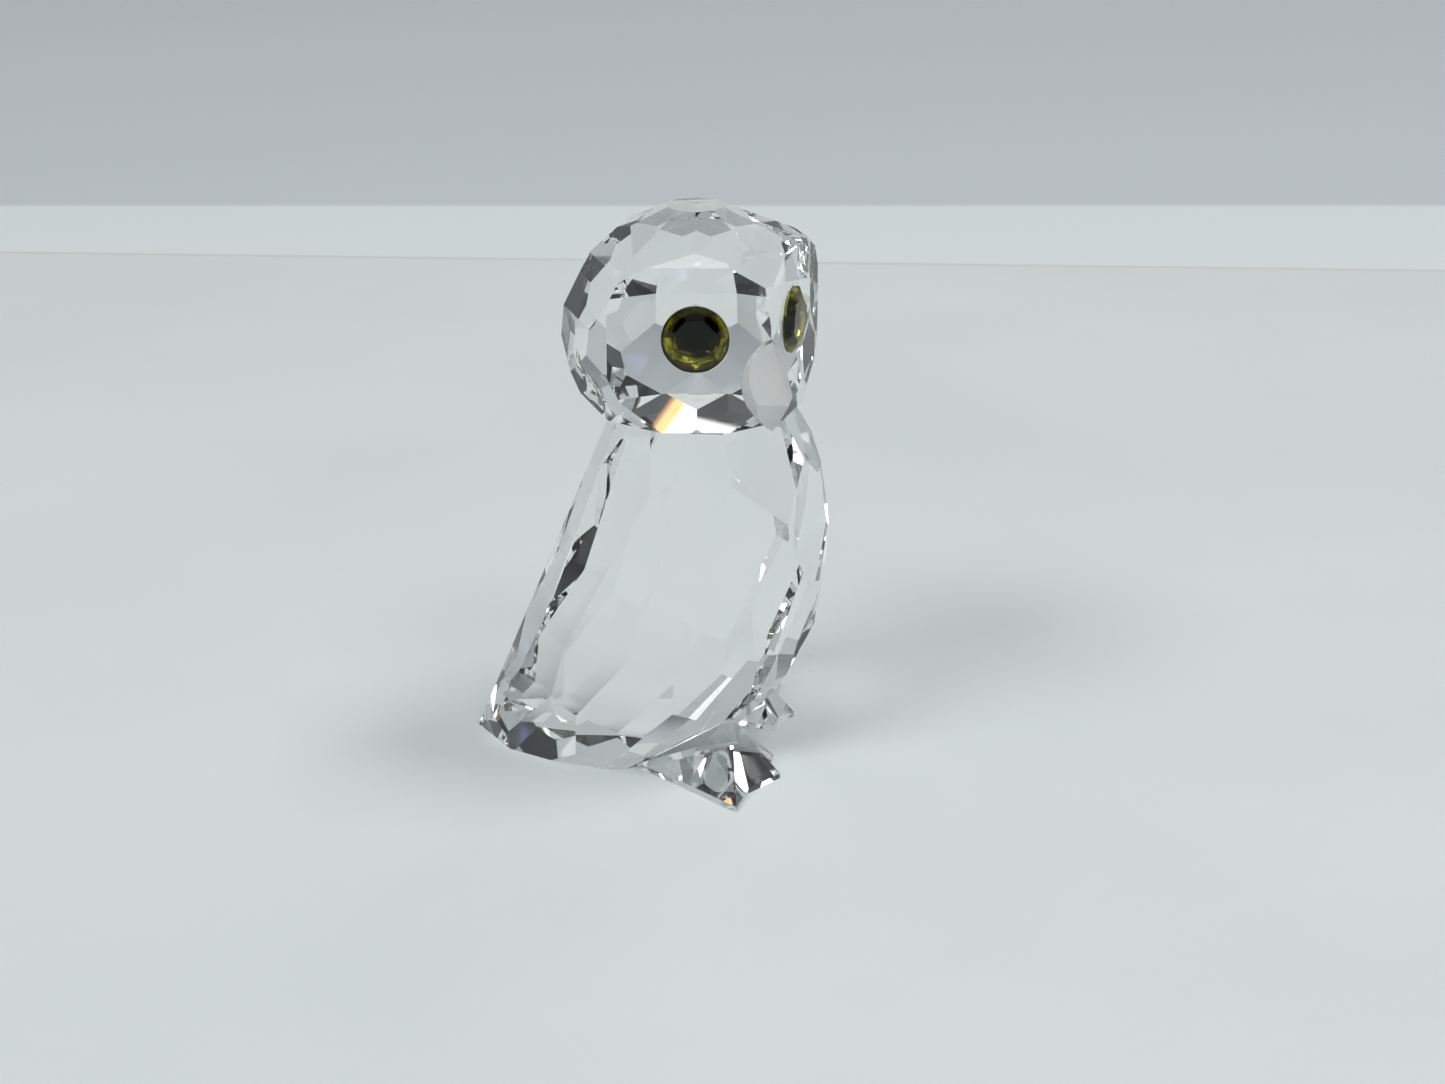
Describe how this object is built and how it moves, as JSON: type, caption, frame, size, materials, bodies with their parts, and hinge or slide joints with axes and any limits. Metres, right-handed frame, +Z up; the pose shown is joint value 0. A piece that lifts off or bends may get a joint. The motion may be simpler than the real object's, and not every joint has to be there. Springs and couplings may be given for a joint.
{
  "type": "crystal glass figurine",
  "caption": "Small owl of faceted clear crystal with a turned head, foil-backed eye stones, a frosted beak and wedge feet, bonded with clear adhesive.",
  "frame": {"origin": "on the flat ground face that the owl stands on, straight below the head's centre", "axes": "+Z up; the owl's breast faces -Y; the owl's right side is -X"},
  "size_m": [0.0191, 0.0212, 0.0328],
  "materials": {
    "crystal": "polished flat facets",
    "frosted_crystal": "frosted",
    "eye_crystal": "polished flat facets",
    "foil": "dark olive metallic lacquer",
    "adhesive": "clear cured film"
  },
  "bodies": {
    "root": {"body": "crystal", "head": "crystal", "beak": "frosted_crystal", "right_eye_stone": "eye_crystal", "left_eye_stone": "eye_crystal", "right_eye_foil": "foil", "left_eye_foil": "foil", "right_foot": "crystal", "left_foot": "crystal", "neck_adhesive": "adhesive", "beak_adhesive": "adhesive", "right_eye_adhesive": "adhesive", "left_eye_adhesive": "adhesive", "right_foot_adhesive": "adhesive", "left_foot_adhesive": "adhesive"}
  },
  "joints": []
}
